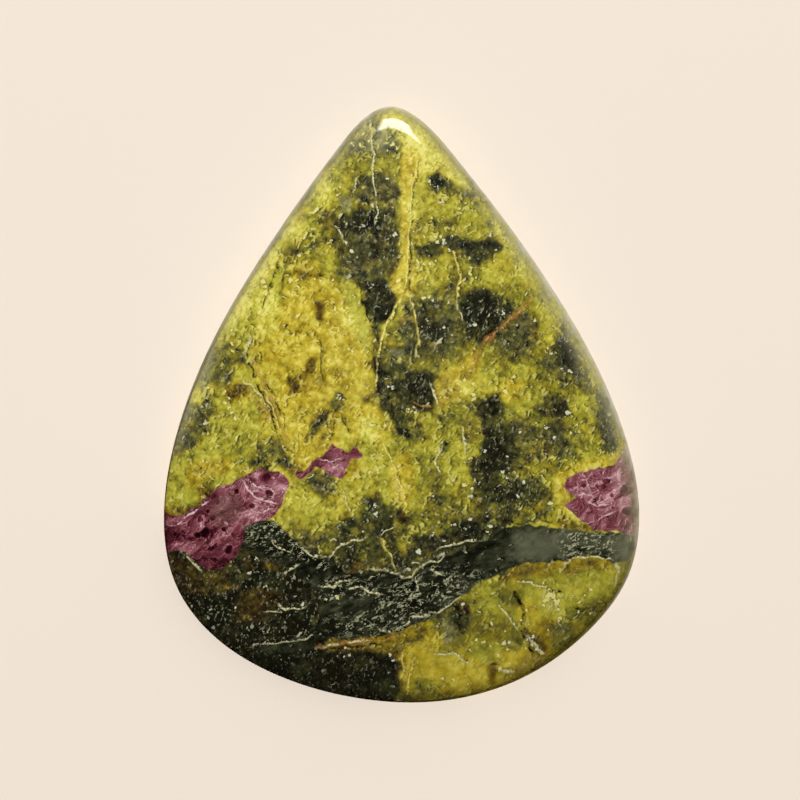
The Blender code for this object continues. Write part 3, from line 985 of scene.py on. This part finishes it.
# Colours of the serpentine from its palest to its darkest, and the darkness at which each stands.
GREEN_YELLOW = ((0.00, (228, 222, 116)), (0.15, (196, 190, 72)), (0.32, (163, 157, 50)),
                (0.50, (116, 112, 37)), (0.64, (76, 77, 36)), (0.80, (42, 44, 27)), (0.95, (21, 22, 13)))
GOLDEN = ((0.00, (238, 222, 120)), (0.15, (208, 188, 62)), (0.32, (174, 152, 38)),
          (0.50, (130, 108, 26)), (0.64, (86, 68, 26)), (0.80, (50, 39, 19)), (0.95, (26, 21, 11)))
GREY_GREEN = ((0.00, (204, 200, 156)), (0.32, (150, 147, 102)), (0.50, (112, 110, 76)),
              (0.64, (80, 81, 57)), (0.80, (44, 46, 34)), (0.95, (20, 22, 15)))

# Colours of the band and of the stichtite from their darkest to their palest, and where each stands.
BAND_COLOURS = ((0.00, (12, 13, 7)), (0.25, (28, 30, 18)), (0.45, (54, 56, 39)), (0.60, (82, 84, 62)),
                (0.80, (112, 114, 88)), (1.00, (154, 156, 128)))
STICHTITE_COLOURS = ((0.00, (26, 4, 8)), (0.20, (66, 22, 31)), (0.42, (114, 56, 63)),
                     (0.60, (150, 92, 99)), (0.80, (198, 148, 153)), (1.00, (236, 204, 204)))

# Colours of what lies over them.
PALE_FLECK, GREY_FLECK = (244, 236, 160), (214, 213, 176)
WORM, STICHTITE_VEIL = (202, 201, 160), (104, 84, 70)
YELLOW_GRAIN, WHITE_GRAIN, SOFT_LIGHT = (238, 226, 138), (226, 226, 190), (230, 222, 118)
# Painted glow and painted white sheen on the thin edge.
PAINTED_EDGE_GLOW, PAINTED_EDGE_SHEEN = (240, 234, 190), (242, 238, 222)
VEIN_SHADE, GRAIN_SHADE, WRINKLE = (24, 20, 8), (30, 28, 12), (40, 36, 12)
VEIN_COLOURS = {"yellow": (222, 204, 96), "cream": (212, 206, 154), "rust": (150, 104, 50),
                "crack": (26, 22, 8), "pink": (222, 184, 186)}
VEIN_CORES = {"yellow": (240, 228, 140), "cream": (232, 228, 184), "rust": (214, 178, 110),
              "crack": (14, 12, 4), "pink": (232, 200, 202)}

# Painted light on the thin edge, low down and towards the tip: a painted soft glow, and a paler
# painted sheen at its foot, in place of the floor's reflection in the polish and the light through
# the edge. Each pair, in metres, is where one starts and where it is full, and each share is the most
# of it. Both end just above the back, and both reach further down on the right.
GLOW_HEIGHT, GLOW_PLACE, GLOW_SHARE = (0.0036, 0.0008), (-0.0088, -0.0050), 0.50
SHEEN_HEIGHT, SHEEN_PLACE, SHEEN_SHARE = (0.0015, 0.0005), (-0.0150, -0.0090), 0.66
EDGE_END = (0.0, 0.0004)
FURTHER_RIGHT = 0.24

# The finish: a matt body under a clear polish, with faint bumps whose height is in metres.
FINISH = {"Roughness": 0.5, "Specular IOR Level": 0.0, "Coat Weight": 1.0, "Coat Roughness": 0.13,
          "Coat IOR": 1.38}
BUMP_STRENGTH, BUMP_HEIGHT = 0.3, 0.00005


class Graph:
    """Short ways of adding nodes to a material. A value is a number, a vector or a node's output."""

    def __init__(self, tree):
        self.tree = tree

    def add(self, kind, inputs, output=0, **settings):
        node = self.tree.nodes.new(kind)
        for name, value in settings.items():
            setattr(node, name, value)
        for key, value in inputs.items():
            if isinstance(value, bpy.types.NodeSocket):
                self.tree.links.new(value, node.inputs[key])
            else:
                node.inputs[key].default_value = value
        return node.outputs[output]

    def math(self, operation, *values):
        return self.add("ShaderNodeMath", dict(enumerate(values)), operation=operation)

    def linear(self, value, slope, start):
        """The value times slope, added to start."""
        return self.math("MULTIPLY_ADD", value, slope, start)

    def rest(self, share):
        """What a share leaves of the whole."""
        return self.math("SUBTRACT", 1.0, share)

    def size(self, value):
        return self.math("ABSOLUTE", value)

    def most(self, first, second):
        return self.math("MAXIMUM", first, second)

    def product(self, *values):
        total = values[0]
        for value in values[1:]:
            total = self.math("MULTIPLY", total, value)
        return total

    def sum(self, *values):
        total = values[0]
        for value in values[1:]:
            total = self.math("ADD", total, value)
        return total

    def vary(self, value, amount):
        """A noise value turned into a swing about 0, this large from end to end."""
        return self.linear(value, amount, -amount / 2)

    def step(self, value, low, high):
        """0 below low and 1 above high, with a smooth step between. With high under low it falls."""
        return self.add("ShaderNodeMapRange", {0: value, 1: low, 2: high, 3: 0.0, 4: 1.0},
                        interpolation_type="SMOOTHSTEP")

    def mix(self, share, first, second):
        return self.add("ShaderNodeMix", {0: share, 6: first, 7: second}, output=2, data_type="RGBA")

    def noise(self, where, scale, detail, roughness=0.6, distortion=0.0, output=0):
        inputs = {"Vector": where, "Scale": scale, "Detail": detail, "Roughness": roughness,
                  "Distortion": distortion}
        return self.add("ShaderNodeTexNoise", inputs, output)

    def ramp(self, value, stops):
        colour = self.add("ShaderNodeValToRGB", {0: value})
        elements = colour.node.color_ramp.elements
        for place, _ in stops[1:-1]:
            elements.new(place)
        for element, (place, rgb) in zip(elements, stops):
            element.position = place
            element.color = seen(*rgb)
        return colour

    def values(self, name):
        """The three values of one of the mesh's attributes."""
        vector = self.add("ShaderNodeAttribute", {}, output=1, attribute_name=name)
        split = self.add("ShaderNodeSeparateXYZ", {0: vector}).node
        return tuple(split.outputs)

    def shifted(self, where, offset):
        return self.add("ShaderNodeVectorMath", {0: where, 1: offset}, operation="ADD")

    def flecks(self, where, scale, level, detail=1.0, distortion=0.4):
        """Small flecks, and the shade at their lower right, both from 0 to 1. A lower level gives more."""
        here = self.noise(where, scale, detail, distortion=distortion)
        there = self.noise(self.shifted(where, SHADE_OFFSET), scale, detail, distortion=distortion)
        fleck = self.step(here, level, level + 0.055)
        shade = self.product(self.step(there, level - 0.04, level + 0.03), self.rest(fleck))
        return fleck, shade

    def spots(self, where, scale, radius, share):
        """Single grains, each of its own size and brightness, in this share of the cells of a grid this
        fine; and the shade round them, which is heavier at their lower right."""
        def cells(place):
            cell = self.add("ShaderNodeTexVoronoi", {"Vector": place, "Scale": scale}).node
            chance = self.add("ShaderNodeSeparateXYZ", {0: cell.outputs["Color"]}).node
            size = self.linear(chance.outputs[1], radius * scale, radius * scale * 0.45)
            ratio = self.math("DIVIDE", cell.outputs["Distance"], size)
            present = self.math("LESS_THAN", chance.outputs[0], share)
            return ratio, self.product(present, self.linear(chance.outputs[2], 0.8, 0.2))

        ratio, brightness = cells(where)
        grain = self.product(self.step(ratio, 1.35, 0.55), brightness)
        ratio, brightness = cells(self.shifted(where, SHADE_OFFSET))
        shade = self.product(self.step(ratio, 1.9, 0.9), brightness, self.rest(grain))
        return grain, shade

    def squiggles(self, where, scale):
        """Short thin strokes that curl about, from 0 to 1: pieces of a noise's middle contours."""
        field = self.size(self.vary(self.noise(where, scale, detail=1.0, distortion=0.8), 1.0))
        elsewhere = self.shifted(where, (7.0, 3.0, 0.0))
        broken = self.step(self.noise(elsewhere, scale * 0.7, detail=2.0), 0.48, 0.57)
        return self.product(self.step(field, 0.080, 0.030), broken)

    def drawn_out(self, where, degrees, longer):
        """The same place in a frame whose patterns come out turned, and this much longer than wide."""
        turned = self.add("ShaderNodeVectorRotate", {"Vector": where, "Angle": -np.radians(degrees)},
                          rotation_type="Z_AXIS")
        return self.add("ShaderNodeVectorMath", {0: turned, 1: (1 / longer, 1.0, 1.0)}, operation="MULTIPLY")

    def swirled(self, where, scale, amount):
        """The same place, pushed about by noise: amount in millimetres."""
        push = self.noise(where, scale, detail=2.0, output=1)
        centred = self.add("ShaderNodeVectorMath", {0: push, 1: (0.5, 0.5, 0.5)}, operation="SUBTRACT")
        scaled = self.add("ShaderNodeVectorMath", {0: centred, "Scale": amount * 2}, operation="SCALE")
        return self.add("ShaderNodeVectorMath", {0: where, 1: scaled}, operation="ADD")


def ground_colour(graph, where, mottle, texture):
    """The serpentine itself: yellow that darkens through olive to black, with flecks all over."""
    dark, warm, grey = graph.values("ground")
    rich = graph.linear(graph.values("grains")[1], -0.45, 1.0)
    lit, shaded = (graph.product(part, rich) for part in texture)
    broad = graph.noise(where, 0.6, detail=2.0)
    lumps = graph.noise(where, 2.2, detail=2.0, roughness=0.5)
    pebbles = graph.add("ShaderNodeTexVoronoi", {"Vector": graph.swirled(where, 3.0, 0.20), "Scale": 3.0})
    uneven = graph.sum(graph.vary(mottle, 0.55), graph.vary(lumps, 0.42),
                       graph.linear(pebbles, 0.20, -0.09),
                       graph.vary(graph.noise(graph.drawn_out(where, 50, 1.5), 5.5, detail=1.0), 0.26))
    depth = graph.sum(dark, graph.vary(broad, 0.45), graph.product(uneven, rich))
    darkness = graph.step(depth, 0.42, 0.70)
    warmth = graph.sum(warm, graph.vary(graph.noise(where, 0.8, detail=3.0), 2.0))
    glow, glow_shade = graph.flecks(graph.drawn_out(where, 50, 1.4), 3.0, 0.57, detail=1.0, distortion=0.6)
    rough = graph.linear(graph.step(graph.noise(where, 0.7, detail=2.0), 0.40, 0.60), 0.75, 0.25)
    rough = graph.product(rough, rich)
    depth = graph.sum(depth, graph.product(shaded, 0.22), graph.product(glow_shade, rough, 0.15), -0.02)
    colour = graph.mix(graph.step(warmth, -0.4, 1.1), graph.ramp(depth, GREEN_YELLOW),
                       graph.ramp(depth, GOLDEN))
    greyness = graph.step(graph.sum(grey, graph.vary(broad, 0.8)), 0.15, 0.95)
    colour = graph.mix(greyness, colour, graph.ramp(depth, GREY_GREEN))
    glow = graph.product(glow, graph.rest(darkness), rough, 0.55)
    colour = graph.mix(glow, colour, seen(*SOFT_LIGHT))
    fleck = graph.mix(darkness, seen(*PALE_FLECK), seen(*GREY_FLECK))
    clear = graph.product(graph.step(warm, 0.2, 0.6), darkness)
    strength = graph.sum(0.65, graph.product(darkness, 0.12), graph.product(clear, -0.50))
    dust = graph.step(graph.noise(graph.drawn_out(where, 75, 1.6), 5.5, detail=1.0), 0.60, 0.68)
    dust = graph.product(dust, darkness, rough, 0.30)
    return graph.mix(graph.most(graph.product(lit, strength), dust), colour, fleck)


def painted_edge_sheen(graph, place, mottle):
    """How much painted glow and how much painted white sheen the thin edge has at each place, in place of
    the floor's reflection and the light through the edge: most near the back, towards the tip."""
    parts = graph.add("ShaderNodeSeparateXYZ", {0: place}).node
    across, up, height = parts.outputs
    along = graph.linear(across, FURTHER_RIGHT, up)
    glow = graph.product(graph.step(height, *GLOW_HEIGHT), graph.step(along, *GLOW_PLACE), GLOW_SHARE)
    painted_sheen = graph.product(graph.step(height, *SHEEN_HEIGHT), graph.step(along, *SHEEN_PLACE), SHEEN_SHARE)
    cloudy = graph.product(graph.step(height, *EDGE_END), graph.linear(mottle, 2.6, -0.25))
    return graph.product(glow, cloudy), graph.product(painted_sheen, cloudy)


def wrinkles(graph, where, mottle):
    """Thin broken lines, as of healed cracks."""
    place = graph.swirled(where, 0.8, 0.8)
    edge = graph.add("ShaderNodeTexVoronoi", {"Vector": place, "Scale": 0.55}, feature="DISTANCE_TO_EDGE")
    return graph.product(graph.step(edge, 0.045, 0.012), graph.step(mottle, 0.46, 0.56))


def band_colour(graph, where, mottle, texture):
    """The band's darker, greyer serpentine, with its worm-like pale strokes."""
    black, smooth, worms = graph.values("band")
    lit, shaded = texture
    rough = graph.linear(smooth, -0.65, 1.0)
    grain = graph.noise(graph.drawn_out(where, 22, 2.2), 3.0, detail=2.0, roughness=0.6)
    strokes = graph.drawn_out(where, 25, 1.7)
    worm = graph.squiggles(strokes, 4.8)
    worm_shade = graph.rest(worm)
    light = graph.sum(0.39, graph.product(graph.vary(mottle, 0.7), rough), graph.product(smooth, 0.26),
                      graph.product(graph.vary(grain, 0.8), rough), graph.product(worms, 0.02),
                      graph.product(black, -0.15), graph.product(shaded, rough, -0.26),
                      graph.product(worm_shade, worms, -0.12))
    clear = graph.rest(smooth)
    pale = graph.most(graph.product(worm, worms, 0.70), graph.product(lit, clear, 0.6))
    return graph.mix(pale, graph.ramp(light, BAND_COLOURS), seen(*WORM))


def stichtite_colour(graph, where, pits):
    """Stichtite: silky pink folds that curl round dark pits."""
    dark, _, grey = graph.values("ground")
    silk = graph.drawn_out(graph.swirled(where, 0.7, 0.7), 35, 2.0)
    folds = graph.noise(silk, 0.8, detail=3.0, roughness=0.5, distortion=1.6)
    crease = graph.size(graph.vary(graph.noise(silk, 0.9, detail=2.0, distortion=2.4), 1.0))
    lit, shaded = graph.flecks(silk, 2.6, 0.60, detail=1.0, distortion=1.2)
    ring = graph.product(graph.step(pits, 0.05, 0.25), graph.step(pits, 0.60, 0.35))
    light = graph.sum(0.60, graph.product(dark, -0.42), graph.vary(folds, 1.2), graph.product(lit, 0.16),
                      graph.product(shaded, -0.16), graph.product(graph.step(crease, 0.022, 0.0), 0.26),
                      graph.product(graph.step(pits, 0.45, 0.90), -0.32), graph.product(ring, 0.07))
    colour = graph.ramp(light, STICHTITE_COLOURS)
    return graph.mix(graph.product(graph.step(grey, 0.3, 0.9), 0.45), colour, seen(*STICHTITE_VEIL))


def with_veins(graph, colour, name, grain, mottle):
    """The colour with a family of veins over it: their body, a core, and a shade along one side."""
    aside, half_width, strength = graph.values(name)
    aside = graph.sum(aside, graph.vary(grain, 4.0))
    width = graph.product(half_width, graph.linear(grain, 2.4, -0.30))
    unbroken = graph.linear(graph.step(grain, 0.38, 0.52), 0.5, 0.5)
    present = graph.product(strength, graph.step(mottle, 0.30, 0.50), unbroken)
    away = graph.size(aside)
    gap = graph.size(graph.sum(aside, width, 0.6))
    body = graph.step(graph.math("DIVIDE", away, width), 1.3, 0.3)
    core = graph.step(away, 0.9, 0.1)
    colour = graph.mix(graph.product(graph.step(gap, 1.1, 0.2), present, 0.55), colour, seen(*VEIN_SHADE))
    colour = graph.mix(graph.product(body, present), colour, seen(*VEIN_COLOURS[name]))
    lit = graph.product(core, present, graph.step(grain, 0.42, 0.60))
    return graph.mix(lit, colour, seen(*VEIN_CORES[name]))


def with_grains(graph, colour, grain):
    """The colour with the listed grains over it, and the shade round them."""
    inside, _, _ = graph.values("grains")
    inside = graph.sum(inside, graph.product(graph.vary(grain, 2.4), graph.step(inside, 0.0, 0.2)))
    in_dark = graph.step(graph.values("ground")[0], 0.42, 0.66)
    pale = graph.mix(in_dark, seen(*YELLOW_GRAIN), seen(*WHITE_GRAIN))
    colour = graph.mix(graph.product(graph.step(inside, 0.0, 0.3), 0.35), colour, seen(*GRAIN_SHADE))
    return graph.mix(graph.product(graph.step(inside, 0.36, 0.60), 0.85), colour, pale)


def fleck_texture(graph, where):
    """Crisp flecks of several sizes that gather in clusters, and the shade beside them."""
    clusters = graph.linear(graph.step(graph.noise(where, 0.9, detail=2.0), 0.40, 0.58), 0.70, 0.30)
    texture = [graph.flecks(graph.drawn_out(where, 40, 1.5), 2.4, 0.65, detail=2.0)]
    for place, scale, radius, share in ((graph.drawn_out(where, 60, 1.5), 1.6, 0.075, 0.30),
                                        (graph.drawn_out(where, -40, 1.4), 3.0, 0.048, 0.42)):
        texture.append(graph.spots(graph.swirled(place, 5.0, 0.035), scale, radius, share))
    lit, shaded = texture[0]
    for more_lit, more_shaded in texture[1:]:
        lit, shaded = graph.most(lit, more_lit), graph.most(shaded, more_shaded)
    return graph.product(lit, clusters), graph.product(shaded, clusters)


def stone_material():
    material = bpy.data.materials.new("polished_atlantisite")
    material.use_nodes = True
    graph = Graph(material.node_tree)
    place = graph.add("ShaderNodeTexCoord", {}, output="Object")
    where = graph.add("ShaderNodeVectorMath", {0: place, 1: PATTERN_SCALE}, operation="MULTIPLY")
    mottle = graph.noise(where, 1.3, detail=3.0, roughness=0.5, distortion=0.4)
    grain = graph.noise(where, 4.5, detail=2.0)
    texture = fleck_texture(graph, where)

    stichtite, band, pits = graph.values("minerals")
    colour = ground_colour(graph, where, mottle, texture)
    in_band = graph.step(graph.sum(band, graph.vary(mottle, 9.0)), -1.5, 1.5)
    colour = graph.mix(in_band, colour, band_colour(graph, where, mottle, texture))
    colour = graph.mix(graph.product(wrinkles(graph, where, mottle), 0.25), colour, seen(*WRINKLE))
    for name in ("yellow", "rust", "crack"):
        colour = with_veins(graph, colour, name, grain, mottle)
    colour = with_veins(graph, colour, "cream", graph.noise(where, 6.5, detail=2.0), mottle)
    colour = with_grains(graph, colour, grain)
    in_stichtite = graph.step(graph.sum(stichtite, graph.vary(mottle, 6.0)), -0.9, 0.9)
    pink = with_veins(graph, stichtite_colour(graph, where, pits), "pink", grain, mottle)
    colour = graph.mix(in_stichtite, colour, pink)
    # The thin edge's painted glow and painted white sheen, laid over the colour.
    glow, painted_sheen = painted_edge_sheen(graph, place, mottle)
    colour = graph.mix(painted_sheen, graph.mix(glow, colour, seen(*PAINTED_EDGE_GLOW)), seen(*PAINTED_EDGE_SHEEN))

    bumps = graph.add("ShaderNodeBump",
                      {"Strength": BUMP_STRENGTH, "Distance": BUMP_HEIGHT, "Height": mottle})
    shader = material.node_tree.nodes["Principled BSDF"]
    material.node_tree.links.new(colour, shader.inputs["Base Color"])
    material.node_tree.links.new(bumps, shader.inputs["Normal"])
    for name, value in FINISH.items():
        shader.inputs[name].default_value = value
    return material


# ------------------------------------------------------------------ floor, light and camera

FLOOR_SIZE = 3.0
FLOOR_COLOUR = (0.800, 0.705, 0.604, 1.0)
FLOOR_ROUGHNESS = 1.0
SKY_STRENGTH = 0.20
CLIP_START = 0.01

# Each panel: its bearing from +X and its height, in degrees; its distance and size, in metres; its
# power, in watts.
KEY = (95, 63, 1.2, (0.9, 0.9), 17.2)
TIP_GLINT = (84, 25, 0.4, (0.34, 0.30), 8.0)


def floor():
    """The plain floor that the stone lies on, which its polish doesn't mirror."""
    mesh = bpy.data.meshes.new("floor")
    half = FLOOR_SIZE / 2
    mesh.from_pydata([(-half, -half, 0), (half, -half, 0), (half, half, 0), (-half, half, 0)], [],
                     [(0, 1, 2, 3)])
    material = bpy.data.materials.new("matt_paper")
    material.use_nodes = True
    shader = material.node_tree.nodes["Principled BSDF"]
    shader.inputs["Base Color"].default_value = FLOOR_COLOUR
    shader.inputs["Roughness"].default_value = FLOOR_ROUGHNESS
    shader.inputs["Specular IOR Level"].default_value = 0.0
    mesh.materials.append(material)
    plane = bpy.data.objects.new("floor", mesh)
    plane.visible_glossy = False
    bpy.context.scene.collection.objects.link(plane)


def sky():
    """Soft light from all round, which the polish doesn't mirror."""
    world = bpy.data.worlds.new("studio")
    world.use_nodes = True
    world.node_tree.nodes["Background"].inputs["Color"].default_value = (1.0, 1.0, 1.0, 1.0)
    world.node_tree.nodes["Background"].inputs["Strength"].default_value = SKY_STRENGTH
    world.cycles_visibility.glossy = False
    bpy.context.scene.world = world


def panel(name, azimuth, elevation, distance, size, power, mirrored):
    """A soft light that faces the stone from this bearing and height. Either the polish mirrors it, and
    nothing else shows it, or it lights everything without shadows and isn't mirrored."""
    light = bpy.data.lights.new(name, "AREA")
    light.shape = "RECTANGLE"
    light.size, light.size_y = size
    light.energy = power
    lamp = bpy.data.objects.new(name, light)
    turn, rise = np.radians(azimuth), np.radians(elevation)
    towards = Vector((np.cos(turn) * np.cos(rise), np.sin(turn) * np.cos(rise), np.sin(rise)))
    lamp.location = towards * distance
    lamp.rotation_euler = towards.to_track_quat("Z", "Y").to_euler()
    lamp.visible_glossy = mirrored
    lamp.visible_diffuse = not mirrored
    light.use_shadow = mirrored
    bpy.context.scene.collection.objects.link(lamp)


def camera():
    lens = bpy.data.cameras.new("camera")
    lens.lens = LENS_MM
    lens.sensor_width = SENSOR_MM
    lens.clip_start = CLIP_START
    eye = bpy.data.objects.new("camera", lens)
    eye.location = (*CAMERA_CENTRE, CAMERA_HEIGHT)
    bpy.context.scene.collection.objects.link(eye)
    bpy.context.scene.camera = eye


stone_object()
floor()
sky()
panel("key", *KEY, mirrored=False)
panel("tip_glint", *TIP_GLINT, mirrored=True)
camera()
bpy.context.scene.view_settings.view_transform = "Standard"
